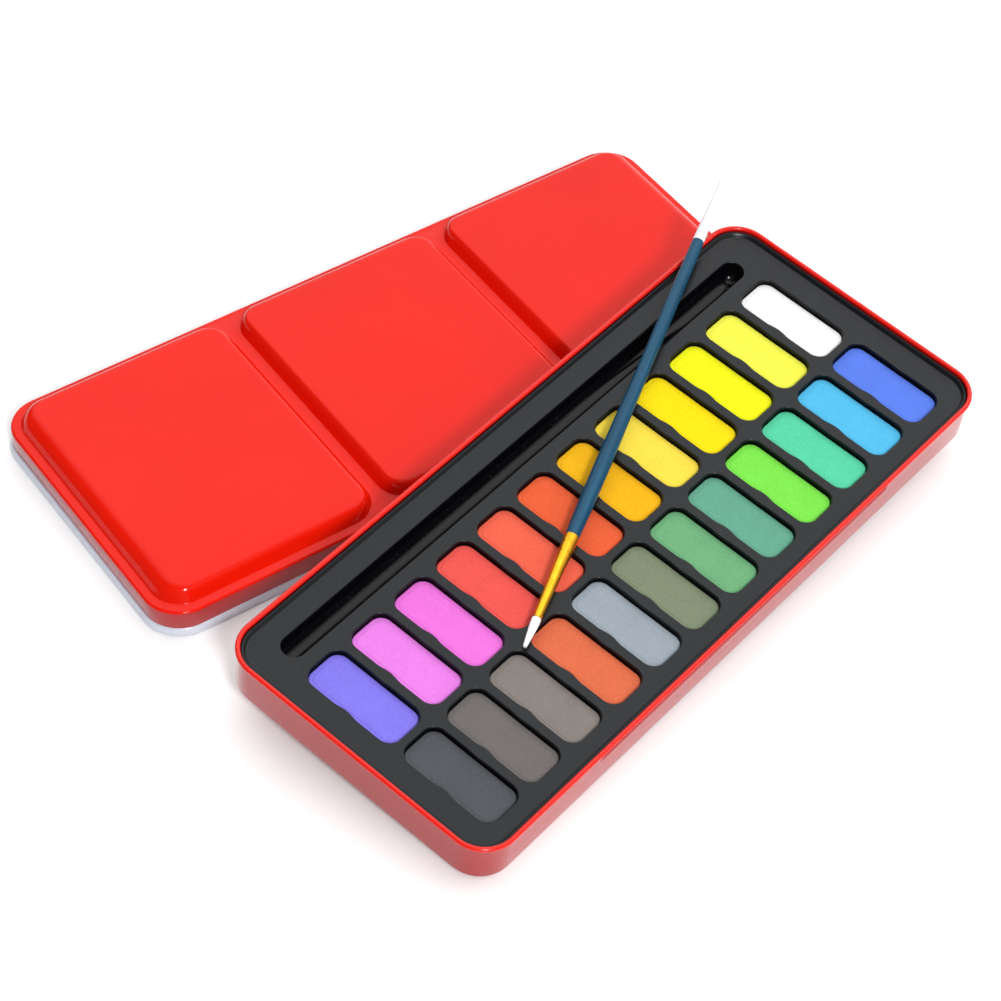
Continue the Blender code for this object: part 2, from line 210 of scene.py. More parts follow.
def colour(red, green, blue):
    """The base colour that shows as this display colour under the set's light."""
    return tuple(min(PALEST, linear(v) / LIGHT_LEVEL) for v in (red, green, blue))


# ===========================================================================
# Places: each piece's own frame, from the CAD model
# ===========================================================================

def own_frame(nodes, turn):
    """The frame of some nodes, turned by turn, at the middle of their foot; and their size."""
    back = turn.to_matrix().transposed()
    points = [back @ v.co for node in nodes for v in frame["nodes"][node].data.vertices]
    low = Vector([min(p[axis] for p in points) for axis in range(3)])
    high = Vector([max(p[axis] for p in points) for axis in range(3)])
    middle = Vector(((low.x + high.x) / 2, (low.y + high.y) / 2, low.z))
    return Matrix.LocRotScale(turn.to_matrix() @ middle, turn, None), high - low


def middle_of(node):
    """Where the axis of a turned node passes, from the mean of its corners."""
    points = frame["nodes"][node].data.vertices
    return sum((v.co for v in points), Vector()) / len(points)


lift_axis = next(j["axis"] for j in frame["joints"] if j["name"] == "insert_lift")
tin_turn = UP.rotation_difference(Vector(lift_axis))
lid_edge = UP.cross(Vector(lift_axis)).normalized()
if lid_edge.x < 0:
    lid_edge.negate()
lid_turn = Matrix.Rotation(math.atan2(lid_edge.y, lid_edge.x), 3, "Z").to_quaternion()
TIN_FRAME, TIN_SIZE = own_frame(["tin_base"], tin_turn)
LID_FRAME, LID_SIZE = own_frame(["lid"], lid_turn)
TIN_HALF = Vector((TIN_SIZE.x / 2, TIN_SIZE.y / 2))
TIN_HEIGHT = TIN_SIZE.z
LID_HALF = Vector((LID_SIZE.x / 2 - LID_CURL_OUT, LID_SIZE.y / 2 - LID_CURL_OUT))
LID_HEIGHT = LID_SIZE.z - PANEL_RISE
FLANGE_Z = TIN_HEIGHT - FLANGE_DROP

brush_way = (middle_of("brush_handle") - middle_of("brush_ferrule")).normalized()
brush_turn = brush_way.to_track_quat("X", "Z")
hair_low = min(brush_way.dot(v.co) for v in frame["nodes"]["brush_hairs"].data.vertices)
axis_point = middle_of("brush_handle")
BRUSH_FRAME = Matrix.LocRotScale(
    axis_point + brush_way * (hair_low - brush_way.dot(axis_point)), brush_turn, None)


# ===========================================================================
# Mesh tools
# ===========================================================================

def outline(half, corner, steps, along_x=(), along_y=()):
    """A rounded rectangle, anticlockwise: (point, outward normal) pairs.

    along_x and along_y are extra stations on its long straight sides, lowest first.
    """
    result = []
    signs = ((1, 1), (-1, 1), (-1, -1), (1, -1))
    normals = (Vector((0, 1)), Vector((-1, 0)), Vector((0, -1)), Vector((1, 0)))
    for quarter, (sx, sy) in enumerate(signs):
        centre = Vector((sx * (half[0] - corner), sy * (half[1] - corner)))
        for step in range(steps + 1):
            angle = math.radians(90.0) * (quarter + step / steps)
            way = Vector((math.cos(angle), math.sin(angle)))
            result.append((centre + way * corner, way))
        normal = normals[quarter]
        if quarter == 0:
            result += [(Vector((x, half[1])), normal) for x in reversed(along_x)]
        elif quarter == 1:
            result += [(Vector((-half[0], y)), normal) for y in reversed(along_y)]
        elif quarter == 2:
            result += [(Vector((x, -half[1])), normal) for x in along_x]
        else:
            result += [(Vector((half[0], y)), normal) for y in along_y]
    return result


def offset_ring(shape, out, z, centre=(0.0, 0.0)):
    """The outline moved outwards by out, at height z."""
    return [Vector((centre[0] + p.x + n.x * out, centre[1] + p.y + n.y * out, z))
            for p, n in shape]


def scaled_ring(shape, scale, z, centre=(0.0, 0.0)):
    return [Vector((centre[0] + p.x * scale, centre[1] + p.y * scale, z)) for p, _ in shape]


def arc(centre, radius, start, end, steps):
    """(out, height) points of an arc in a profile; angles in degrees."""
    result = []
    for step in range(steps + 1):
        angle = math.radians(start + (end - start) * step / steps)
        result.append((centre[0] + radius * math.cos(angle),
                       centre[1] + radius * math.sin(angle)))
    return result


def skin(builder, rings, closed=False):
    """Skins rings of equal length with quads and returns their rows of vertices."""
    rows = [[builder.verts.new(point) for point in points] for points in rings]
    pairs = list(zip(rows, rows[1:]))
    if closed:
        pairs.append((rows[-1], rows[0]))
    count = len(rows[0])
    for low, high in pairs:
        for here in range(count):
            after = (here + 1) % count
            builder.faces.new((low[here], low[after], high[after], high[here]))
    return rows


def fan(builder, row, centre):
    """Closes a row with a fan of triangles to one centre point."""
    middle = builder.verts.new(centre)
    for here in range(len(row)):
        builder.faces.new((row[here], row[(here + 1) % len(row)], middle))


def plate(builder, rows):
    """Fills the flat face between one outer row and the holes inside it."""
    edges = []
    for row in rows:
        for here in range(len(row)):
            pair = (row[here], row[(here + 1) % len(row)])
            edges.append(builder.edges.get(pair) or builder.edges.new(pair))
    bmesh.ops.triangle_fill(builder, use_beauty=True, edges=edges)


def piece(name, builder, place, materials, body, nodes):
    """A finished bmesh as a smooth piece that stands for some CAD nodes."""
    bmesh.ops.recalc_face_normals(builder, faces=builder.faces)
    mesh = bpy.data.meshes.new(name)
    builder.to_mesh(mesh)
    builder.free()
    mesh.transform(place)
    mesh.shade_smooth()
    for material in materials:
        mesh.materials.append(material)
    result = bpy.data.objects.new(name, mesh)
    bpy.context.scene.collection.objects.link(result)
    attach(result, body)
    if nodes:
        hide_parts(*nodes)
    return result


def sharpen(thing, degrees):
    """Keeps the edges that turn by more than this many degrees crisp."""
    thing.data.set_sharp_from_angle(angle=math.radians(degrees))


def face_up(thing):
    """Turns an open sheet's faces over if most of them look down."""
    if sum(f.normal.z * f.area for f in thing.data.polygons) < 0:
        thing.data.flip_normals()


def thicken(thing, thickness, inner_material=0):
    """Gives an open sheet its thickness, on the side its faces look away from."""
    shell = thing.modifiers.new("sheet", "SOLIDIFY")
    shell.thickness = thickness
    shell.offset = -1.0
    shell.use_even_offset = True
    shell.use_quality_normals = True
    shell.material_offset = inner_material
    shell.material_offset_rim = inner_material


# ===========================================================================
# Materials
# ===========================================================================

def new_material(name):
    result = bpy.data.materials.new(name)
    result.use_nodes = True
    tree = result.node_tree
    shader = tree.nodes["Principled BSDF"]
    return result, tree, shader


def noise_field(tree, scale, detail=3.0, roughness=0.5, seed=0.0, drawn_out=1.0):
    """A noise of scale waves per metre, drawn out along the brush by a factor."""
    place = tree.nodes.new("ShaderNodeTexCoord")
    mapping = tree.nodes.new("ShaderNodeMapping")
    mapping.vector_type = "TEXTURE"
    mapping.inputs["Location"].default_value = (seed, 0.37 * seed, 0.11 * seed)
    if drawn_out != 1.0:
        mapping.inputs["Rotation"].default_value = brush_turn.to_euler()
        mapping.inputs["Scale"].default_value = (drawn_out, 1.0, 1.0)
    field = tree.nodes.new("ShaderNodeTexNoise")
    field.inputs["Scale"].default_value = scale
    field.inputs["Detail"].default_value = detail
    field.inputs["Roughness"].default_value = roughness
    tree.links.new(place.outputs["Object"], mapping.inputs["Vector"])
    tree.links.new(mapping.outputs["Vector"], field.inputs["Vector"])
    return field.outputs["Fac"]


def spread(tree, field, low, high, from_low=0.3, from_high=0.7):
    """Maps a noise's middle range to low..high."""
    node = tree.nodes.new("ShaderNodeMapRange")
    node.inputs["From Min"].default_value = from_low
    node.inputs["From Max"].default_value = from_high
    node.inputs["To Min"].default_value = low
    node.inputs["To Max"].default_value = high
    tree.links.new(field, node.inputs["Value"])
    return node.outputs["Result"]


def blend_colours(tree, factor, first, second, mode="MIX"):
    """Blends two colours by a factor; each of the three is a value or a node's output."""
    node = tree.nodes.new("ShaderNodeMix")
    node.data_type = "RGBA"
    node.blend_type = mode
    if isinstance(factor, float):
        node.inputs["Factor"].default_value = factor
    else:
        tree.links.new(factor, node.inputs["Factor"])
    colour_inputs = [s for s in node.inputs if s.type == "RGBA"]
    for socket, value in zip(colour_inputs, (first, second)):
        if isinstance(value, tuple):
            socket.default_value = (*value, 1.0)
        else:
            tree.links.new(value, socket)
    return next(s for s in node.outputs if s.type == "RGBA")


def bump(tree, shader, heights):
    """Chains bumps from (height field, strength, distance in metres)."""
    normal = None
    for field, strength, distance in heights:
        node = tree.nodes.new("ShaderNodeBump")
        node.inputs["Strength"].default_value = strength
        node.inputs["Distance"].default_value = distance
        tree.links.new(field, node.inputs["Height"])
        if normal is not None:
            tree.links.new(normal, node.inputs["Normal"])
        normal = node.outputs["Normal"]
    tree.links.new(normal, shader.inputs["Normal"])


def lacquer(name, base, gloss, density, clear=0.0):
    """Stoved lacquer on tinplate: a faint orange peel under a hard gloss."""
    result, tree, shader = new_material(name)
    dark = tuple(v * 0.93 for v in base)
    cloud = spread(tree, noise_field(tree, 28.0, detail=4.0), 0.0, 1.0)
    tree.links.new(blend_colours(tree, cloud, dark, base), shader.inputs["Base Color"])
    haze = spread(tree, noise_field(tree, 160.0, detail=5.0, seed=3.0), gloss * 0.85, gloss * 1.2)
    tree.links.new(haze, shader.inputs["Roughness"])
    shader.inputs["IOR"].default_value = density
    shader.inputs["Coat Weight"].default_value = clear
    shader.inputs["Coat Roughness"].default_value = 0.08
    peel = noise_field(tree, 420.0, detail=2.0, seed=7.0)
    ripple = noise_field(tree, 60.0, detail=1.0, seed=9.0)
    bump(tree, shader, ((ripple, 0.1, 0.1 * MM), (peel, 0.08, 0.02 * MM)))
    return result


def moulded_plastic(name, base, density, rough):
    """Vacuum-formed black sheet: satin, with a fine grain and a little dust."""
    result, tree, shader = new_material(name)
    dust = spread(tree, noise_field(tree, 900.0, detail=4.0, seed=2.0), 0.0, 1.0, 0.6, 0.8)
    cloud = spread(tree, noise_field(tree, 45.0, detail=3.0), 0.0, 1.0)
    shade = blend_colours(tree, cloud, tuple(v * 0.8 for v in base), base)
    dusty = blend_colours(tree, dust, (0.0, 0.0, 0.0), (0.011, 0.011, 0.012))
    tree.links.new(blend_colours(tree, 1.0, shade, dusty, "ADD"), shader.inputs["Base Color"])
    shader.inputs["IOR"].default_value = density
    sheen = spread(tree, noise_field(tree, 220.0, detail=3.0, seed=5.0), rough * 0.85, rough * 1.15)
    tree.links.new(sheen, shader.inputs["Roughness"])
    grain = noise_field(tree, 2600.0, detail=2.0, seed=1.0)
    wave = noise_field(tree, 90.0, detail=1.0, seed=8.0)
    bump(tree, shader, ((wave, 0.15, 0.1 * MM), (grain, 0.35, 0.03 * MM)))
    return result


def pressed_paint(name, base, seed):
    """Pressed pigment: dead matt, mottled, with a powdery grain."""
    result, tree, shader = new_material(name)
    deep = tuple(v * 0.9 for v in base)
    pale = tuple(min(0.95, v * 1.06 + 0.006) for v in base)
    cloud = spread(tree, noise_field(tree, 130.0, detail=5.0, roughness=0.6, seed=seed), 0.0, 1.0)
    mottled = blend_colours(tree, cloud, deep, base)
    specks = spread(tree, noise_field(tree, 1500.0, detail=4.0, seed=seed + 4.0),
                    0.0, 0.9, 0.45, 0.75)
    tree.links.new(blend_colours(tree, specks, mottled, pale), shader.inputs["Base Color"])
    shader.inputs["Roughness"].default_value = 0.92
    shader.inputs["Specular IOR Level"].default_value = 0.15
    grain = noise_field(tree, 2200.0, detail=5.0, roughness=0.7, seed=seed + 1.0)
    dents = noise_field(tree, 260.0, detail=3.0, seed=seed + 2.0)
    bump(tree, shader, ((dents, 0.35, 0.10 * MM), (grain, 0.45, 0.05 * MM)))
    return result


def brush_lacquer(name, base, deep):
    """Dipped wood: a soft gloss with faint long streaks along the handle."""
    result, tree, shader = new_material(name)
    streaks = spread(tree, noise_field(tree, 900.0, detail=3.0, drawn_out=30.0), 0.0, 1.0)
    tree.links.new(blend_colours(tree, streaks, deep, base), shader.inputs["Base Color"])
    shader.inputs["IOR"].default_value = 1.33
    gloss = spread(tree, noise_field(tree, 500.0, detail=3.0, seed=2.0), 0.24, 0.36)
    tree.links.new(gloss, shader.inputs["Roughness"])
    waves = noise_field(tree, 320.0, detail=2.0, seed=6.0, drawn_out=4.0)
    bump(tree, shader, ((waves, 0.15, 0.04 * MM),))
    return result


def ferrule_metal(name, base):
    """Rolled gilt tube: drawn lines along it and a soft tarnish."""
    result, tree, shader = new_material(name)
    tarnish = spread(tree, noise_field(tree, 420.0, detail=4.0), 0.0, 1.0)
    warm = tuple(v * k for v, k in zip(base, (0.85, 0.75, 0.6)))
    streaks = spread(tree, noise_field(tree, 1700.0, seed=4.0, drawn_out=80.0),
                     0.0, 0.75, 0.5, 0.68)
    gilt = blend_colours(tree, tarnish, warm, base)
    brown = tuple(v * k for v, k in zip(base, (0.5, 0.33, 0.3)))
    tree.links.new(blend_colours(tree, streaks, gilt, brown), shader.inputs["Base Color"])
    shader.inputs["Metallic"].default_value = 1.0
    drawn = noise_field(tree, 1300.0, detail=2.0, drawn_out=60.0)
    tree.links.new(spread(tree, drawn, 0.2, 0.34), shader.inputs["Roughness"])
    bump(tree, shader, ((drawn, 0.12, 0.01 * MM),))
    return result


def nylon_hair(name, base):
    """Fine filament: long faint streaks and a soft sheen."""
    result, tree, shader = new_material(name)
    fine = spread(tree, noise_field(tree, 3800.0, detail=2.0, drawn_out=20.0), 0.0, 1.0)
    tree.links.new(blend_colours(tree, fine, tuple(v * 0.93 for v in base), base),
                   shader.inputs["Base Color"])
    shader.inputs["Roughness"].default_value = 0.42
    shader.inputs["Sheen Weight"].default_value = 0.3
    bump(tree, shader, ((fine, 0.3, 0.02 * MM),))
    return result


def table_top(name):
    """Pale card under the set, with the faintest clouding."""
    result, tree, shader = new_material(name)
    cloud = spread(tree, noise_field(tree, 14.0, detail=4.0), 0.0, 1.0)
    tree.links.new(blend_colours(tree, cloud, (0.94, 0.94, 0.94), (0.97, 0.97, 0.97)),
                   shader.inputs["Base Color"])
    shader.inputs["Roughness"].default_value = 0.7
    shader.inputs["Specular IOR Level"].default_value = 0.2
    grain = noise_field(tree, 700.0, detail=3.0)
    bump(tree, shader, ((grain, 0.08, 0.05 * MM),))
    return result


# ===========================================================================
# Tin
# ===========================================================================

def smooth(value):
    """Eases 0 to 1 with level ends."""
    value = min(1.0, max(0.0, value))
    return value * value * value * (value * (6.0 * value - 15.0) + 10.0)


def bead_swell(point, normal, z):
    """How far the long walls' retaining bead stands out at a point of the wall."""
    on_long_wall = abs(normal.y) > 0.999
    if not on_long_wall:
        return 0.0
    ends = smooth((BEAD_HALF_LENGTH - abs(point.x)) / BEAD_FADE)
    height = (z - (TIN_HEIGHT - BEAD_BELOW_RIM)) / BEAD_HALF_HEIGHT
    if abs(height) >= 1.0:
        return 0.0
    return BEAD_PROUD * ends * math.sqrt(1.0 - height * height)


def build_tin(rim_red, wall_red_painted_shade):
    # Stations lie close together where the bead fades out.
    stations = [BEAD_HALF_LENGTH - BEAD_FADE * k / 6 for k in range(7)]
    along_x = sorted([-s for s in stations] + [-40 * MM, 0.0, 40 * MM] + stations)
    shape = outline(TIN_HALF, TIN_CORNER, 20, along_x)
    wall_in = TIN_WALL_INSET + TIN_SHEET
    outer_low = -math.degrees(math.acos((RIM_ROLL - TIN_WALL_INSET) / RIM_ROLL))
    inner_low = 360.0 - math.degrees(math.acos((RIM_ROLL - wall_in) / RIM_ROLL))
    profile = [(-TIN_WALL_INSET - TIN_FLOOR_ROUND - 0.2 * MM, 0.0)]
    profile += arc((-TIN_WALL_INSET - TIN_FLOOR_ROUND, TIN_FLOOR_ROUND),
                   TIN_FLOOR_ROUND, -90.0, 0.0, 7)
    bead_z = TIN_HEIGHT - BEAD_BELOW_RIM
    profile.append((-TIN_WALL_INSET, bead_z - BEAD_HALF_HEIGHT - 2.0 * MM))
    profile += [(-TIN_WALL_INSET, bead_z + BEAD_HALF_HEIGHT * math.sin(math.radians(a)))
                for a in range(-90, 91, 15)]
    profile += arc((-RIM_ROLL, TIN_HEIGHT - RIM_ROLL), RIM_ROLL, outer_low, inner_low, 30)
    inner_round = TIN_FLOOR_ROUND - TIN_SHEET
    profile += arc((-wall_in - inner_round, TIN_FLOOR_ROUND), inner_round, 0.0, -90.0, 5)
    profile.append((-wall_in - inner_round - 0.2 * MM, TIN_SHEET))
    # The bead is pressed into the outer face of the wall.
    rings = []
    for out, z in profile:
        outside = abs(out + TIN_WALL_INSET) < 0.01 * MM
        ring = []
        for p, n in shape:
            reach = out + (bead_swell(p, n, z) if outside else 0.0)
            ring.append(Vector((p.x + n.x * reach, p.y + n.y * reach, z)))
        rings.append(ring)
    builder = bmesh.new()
    rows = skin(builder, rings)
    plate(builder, [rows[0]])
    plate(builder, [rows[-1]])
    # All but the rolled rim has the wall's lacquer: a darker copy of the rim's red, painted shade
    # on the walls and floor.
    for face in builder.faces:
        if face.calc_center_median().z < TIN_HEIGHT - 1.9 * RIM_ROLL:
            face.material_index = 1
    tin = piece("tin_shell", builder, TIN_FRAME, [rim_red, wall_red_painted_shade], "tin", ["tin_base"])
    sharpen(tin, 50.0)


# ===========================================================================
# Insert and paints
# ===========================================================================

def well_places():
    """(row, column, middle) of every well."""
    for row, y in WELL_ROWS:
        for column in range(COLUMNS):
            x = LAYOUT_SHIFT + (column - (COLUMNS - 1) / 2) * WELL_PITCH
            yield row, column, (x, y)


def well_ring(half, corner, z, nub, centre):
    """One level of a well; nub is how far the nub of its -X side stands in."""
    stations = [NUB_HALF_LENGTH * k / 7 for k in range(-7, 8)]
    points = []
    for p, n in outline(half, corner, 8, (), stations):
        x = p.x
        if abs(n.x) > 0.999 and abs(p.y) < NUB_HALF_LENGTH:
            share = 1.0 if n.x < 0.0 else NUB_FAR_SHARE
            x -= n.x * nub * share * 0.5 * (1.0 + math.cos(math.pi * p.y / NUB_HALF_LENGTH))
        points.append(Vector((centre[0] + x, centre[1] + p.y, z)))
    return points


def well_rings(centre):
    """From the flat flange down a well to its floor."""
    rings = []
    mouth = WELL_HALF + WELL_MOUTH
    corner_out = WELL_CORNER + WELL_MOUTH.y
    rings.append(well_ring(mouth + WELL_MARGIN, corner_out + WELL_MARGIN.x,
                           FLANGE_Z, NUB_PROUD, centre))
    for step in range(6):
        angle = math.radians(90.0 * step / 5)
        share = 1.0 - math.sin(angle)
        depth = WELL_MOUTH_DEPTH * (1.0 - math.cos(angle))
        half = WELL_HALF + WELL_MOUTH * share
        rings.append(well_ring(half, WELL_CORNER + WELL_MOUTH.y * share,
                               FLANGE_Z - depth, NUB_PROUD, centre))
    for depth, share in NUB_FADE:
        rings.append(well_ring(WELL_HALF, WELL_CORNER, FLANGE_Z - depth * MM,
                               NUB_PROUD * share, centre))
    for step in range(5):
        angle = math.radians(90.0 * step / 4)
        inset = WELL_DRAFT + WELL_FLOOR_ROUND * (1.0 - math.cos(angle))
        z = FLANGE_Z - WELL_DEPTH + WELL_FLOOR_ROUND * (1.0 - math.sin(angle))
        rings.append(well_ring(WELL_HALF - Vector((inset, inset)), WELL_CORNER - inset,
                               z, 0.0, centre))
    return rings


def groove_rings(centre):
    """From the flat flange down the brush groove to its round bottom."""
    # Its ends are full rounds, but for a sliver that keeps the points of each end apart.
    shape = outline(GROOVE_HALF, GROOVE_HALF.y * 0.9999, 12)
    profile = [(GROOVE_MOUTH + 0.15 * MM, FLANGE_Z)]
    profile += arc((GROOVE_MOUTH, FLANGE_Z - GROOVE_MOUTH), GROOVE_MOUTH, 90.0, 180.0, 5)
    middle = FLANGE_Z - GROOVE_DEPTH + GROOVE_HALF.y
    profile += [(-GROOVE_HALF.y * (1.0 - math.cos(math.radians(a))),
                 middle - GROOVE_HALF.y * math.sin(math.radians(a))) for a in range(0, 86, 8)]
    return [offset_ring(shape, out, z, centre) for out, z in profile]


def build_insert(plastics):
    """plastics are those of the flange, of the wells and of the groove; the wells' and the groove's
    are darker copies of the flange's, painted shade in the recesses.
    """
    half = TIN_HALF - Vector((1, 1)) * (2 * RIM_ROLL + INSERT_GAP)
    corner = TIN_CORNER - 2 * RIM_ROLL - INSERT_GAP
    shape = outline(half, corner, 16)
    foot = TIN_SHEET + FLOOR_GAP
    profile = [(0.0, foot), (0.0, FLANGE_Z)]
    profile += arc((-LIP_ROUND, FLANGE_Z + LIP_RISE - LIP_ROUND), LIP_ROUND, 0.0, 100.0, 6)
    profile += [(-inset * MM, FLANGE_Z + rise * MM) for inset, rise in LIP_SIDE]
    profile += [(-LIP_WIDTH, FLANGE_Z), (-LIP_WIDTH - 0.3 * MM, FLANGE_Z)]
    builder = bmesh.new()
    rows = skin(builder, [offset_ring(shape, out, z) for out, z in profile])
    edges = [rows[-1]]
    for _, _, centre in well_places():
        levels = skin(builder, well_rings(centre))
        edges.append(levels[0])
        floor = levels[-1]
        fan(builder, floor, (centre[0], centre[1], floor[0].co.z))
    centre = (LAYOUT_SHIFT, GROOVE_Y)
    levels = skin(builder, groove_rings(centre))
    edges.append(levels[0])
    builder.faces.new(levels[-1])
    plate(builder, edges)
    for face in builder.faces:
        middle = face.calc_center_median()
        # Faces below the recess depth take the darker plastic copies: painted shade.
        if middle.z < FLANGE_Z - RECESS_DEPTH:
            in_groove = abs(middle.y - GROOVE_Y) < 2 * GROOVE_HALF.y
            face.material_index = 2 if in_groove else 1
            # The groove's side next to the wells is lit like the flange.
            if in_groove and middle.y < GROOVE_Y - 0.3 * GROOVE_HALF.y:
                face.material_index = 0
    insert = piece("insert_moulding", builder, TIN_FRAME, plastics, "insert",
                   ["pan_insert"])
    face_up(insert)
    thicken(insert, INSERT_SHEET)


def build_cakes():
    top = FLANGE_Z - CAKE_DROP
    bottom = FLANGE_Z - WELL_DEPTH + FLOOR_GAP
    half = WELL_HALF - Vector((1, 1)) * CAKE_GAP
    for row, column, centre in well_places():
        name = "cake_%s%02d" % (row, column + 1)
        seed = 17.0 * column + (5.0 if row == "b" else 0.0)
        shape = outline(half, CAKE_CORNER, 8, (), [CAKE_STRAIGHT * k / 9 for k in range(-9, 10)])
        rings = [scaled_ring(shape, 0.95, bottom, centre)]
        rings += [offset_ring(shape, -inset * MM, top - drop * MM, centre)
                  for inset, drop in CAKE_SIDE]
        border = CAKE_SIDE[-1][0]
        inner = [(p + n * -border * MM, n) for p, n in shape]
        rings += [scaled_ring(inner, share, top + CAKE_CROWN * (1.0 - share * share), centre)
                  for share in (0.9, 0.75, 0.6, 0.45, 0.3, 0.15)]
        # The top waves a little. The side under it stays straight.
        for ring in rings[4:]:
            for point in ring:
                drift = noise.noise(Vector((point.x, point.y, seed * MM)) * 210.0)
                point.z += CAKE_WAVE * drift
        builder = bmesh.new()
        rows = skin(builder, rings)
        plate(builder, [rows[0]])
        fan(builder, rows[-1], (centre[0], centre[1], top + CAKE_CROWN))
        paint_name = "paint_%s%02d" % (row, column + 1)
        paint = pressed_paint(paint_name, colour(*PAINT[row][column]), seed)
        piece(paint_name, builder, TIN_FRAME, [paint], "insert", [name])


# ===========================================================================
# Lid
# ===========================================================================

def panel_outline(start, end, half_width, corner):
    """One level of a raised panel that runs from start to end along the lid."""
    half = Vector(((end - start) / 2, half_width))
    shape = outline(half, corner, 18, [half.x * k for k in (-0.6, -0.2, 0.2, 0.6)],
                    [half.y * k for k in (-0.7, -0.4, -0.15, 0.15, 0.4, 0.7)])
    return [Vector((p.x + (start + end) / 2, p.y)) for p, _ in shape]


def panel_rings(crest_start, crest_end, foot_start, foot_end):
    """From the flat border over one raised panel to its middle."""
    crest = panel_outline(crest_start, crest_end, PANEL_CREST, PANEL_CREST_CORNER)
    foot = panel_outline(foot_start, foot_end, PANEL_FOOT, PANEL_FOOT_CORNER)
    rings = []
    for out, rise in PANEL_SIDE:
        z = LID_HEIGHT + PANEL_RISE * rise
        rings.append([c.lerp(f, out).to_3d() + UP * z for c, f in zip(crest, foot)])
    middle = Vector(((crest_start + crest_end) / 2, 0.0))
    for share in (0.97, 0.9, 0.8, 0.65, 0.5, 0.35, 0.2, 0.08):
        rings.append([middle.lerp(c, share).to_3d() + UP * (LID_HEIGHT + PANEL_RISE)
                      for c in crest])
    return rings


def build_lid(finishes):
    """finishes are those of the top, of the skirt and of the curl and inside; the skirt's is a
    darker copy of the top's red, painted shade on the lid's sides.
    """
    shape = outline(LID_HALF, LID_CORNER, 20)
    profile = [(-LID_SHOULDER - 0.25 * MM, LID_HEIGHT)]
    profile += arc((-LID_SHOULDER, LID_HEIGHT - LID_SHOULDER), LID_SHOULDER, 90.0, 0.0, 9)
    profile += [(0.0, CURL_TOP + 0.3 * MM)]
    curl = [(CURL_MIDDLE[0] + CURL_HALF[0] * math.cos(math.radians(a)),
             CURL_MIDDLE[1] + CURL_HALF[1] * math.sin(math.radians(a)))
            for a in range(84, -201, -12)]
    builder = bmesh.new()
    rows = skin(builder, [offset_ring(shape, out, z) for out, z in profile + curl])
    # The skirt takes a darker copy of the top's red, painted shade; the curl and the inside take
    # the enamel.
    for face in builder.faces:
        middle = face.calc_center_median()
        if middle.z < CURL_TOP:
            face.material_index = 2
        elif middle.z < LID_HEIGHT - 0.8 * LID_SHOULDER:
            face.material_index = 1
    edges = [rows[0]]
    for ends in PANELS:
        levels = skin(builder, panel_rings(*(x * MM for x in ends)))
        edges.append(levels[0])
        middle = (ends[0] + ends[1]) / 2 * MM
        fan(builder, levels[-1], (middle, 0.0, levels[-1][0].co.z))
    plate(builder, edges)
    lid = piece("lid_shell", builder, LID_FRAME, finishes, "lid", ["lid"])
    face_up(lid)
    thicken(lid, LID_SHEET, inner_material=2)


# ===========================================================================
# Brush
# ===========================================================================

def eased(profile, stations):
    """(place, diameter) points in mm, smoothed and read at stations, as metres."""
    places = np.array([p[0] for p in profile])
    radii = np.array([p[1] for p in profile]) / 2
    slopes = np.gradient(radii, places)
    result = []
    for x in stations:
        k = int(min(max(np.searchsorted(places, x) - 1, 0), len(places) - 2))
        width = places[k + 1] - places[k]
        t = (x - places[k]) / width
        # The cubic between two points that has their radii and slopes.
        radius = ((2 * t**3 - 3 * t**2 + 1) * radii[k] + (t**3 - 2 * t**2 + t) * width * slopes[k]
                  + (-2 * t**3 + 3 * t**2) * radii[k + 1] + (t**3 - t**2) * width * slopes[k + 1])
        result.append((x * MM, float(radius) * MM))
    return result


def turned_rings(profile, sides):
    """Rings about the brush's axis from (place, radius) points."""
    return [[Vector((x, radius * math.cos(math.tau * k / sides),
                     radius * math.sin(math.tau * k / sides))) for k in range(sides)]
            for x, radius in profile]


def build_handle(teal, white):
    start, end = HANDLE_PROFILE[0][0], HANDLE_PROFILE[-1][0]
    dip = DIP_START / MM
    stations = [start, start + 0.3] + list(np.arange(start + 1.0, dip - 0.5, 2.0)) + [dip]
    stations += list(np.arange(dip + 2.0, end - 0.5, 2.0)) + [end]
    profile = eased(HANDLE_PROFILE, stations)
    tip = profile[-1]
    nose = HANDLE_END - tip[0]
    profile += [(tip[0] + nose * math.sin(math.radians(a)), tip[1] * math.cos(math.radians(a)))
                for a in NOSE_ANGLES]
    profile = [(FERRULE_END - HANDLE_IN_FERRULE, HANDLE_NECK),
               (FERRULE_END - 0.5 * MM, HANDLE_NECK)] + profile
    builder = bmesh.new()
    rows = skin(builder, turned_rings(profile, ROUND_SIDES))
    fan(builder, rows[0], (profile[0][0], 0.0, 0.0))
    fan(builder, rows[-1], (HANDLE_END, 0.0, 0.0))
    for face in builder.faces:
        face.material_index = 1 if face.calc_center_median().x > DIP_START else 0
    handle = piece("handle_lacquered", builder, BRUSH_FRAME, [teal, white], "brush",
                   ["brush_handle"])
    sharpen(handle, 40.0)


def crimp(x):
    """How deep the two crimp rings press in at a place along the ferrule, in mm."""
    return sum(CRIMP_DEPTH * math.exp(-((x - ring) / CRIMP_WIDTH) ** 2) for ring in CRIMP_RINGS)


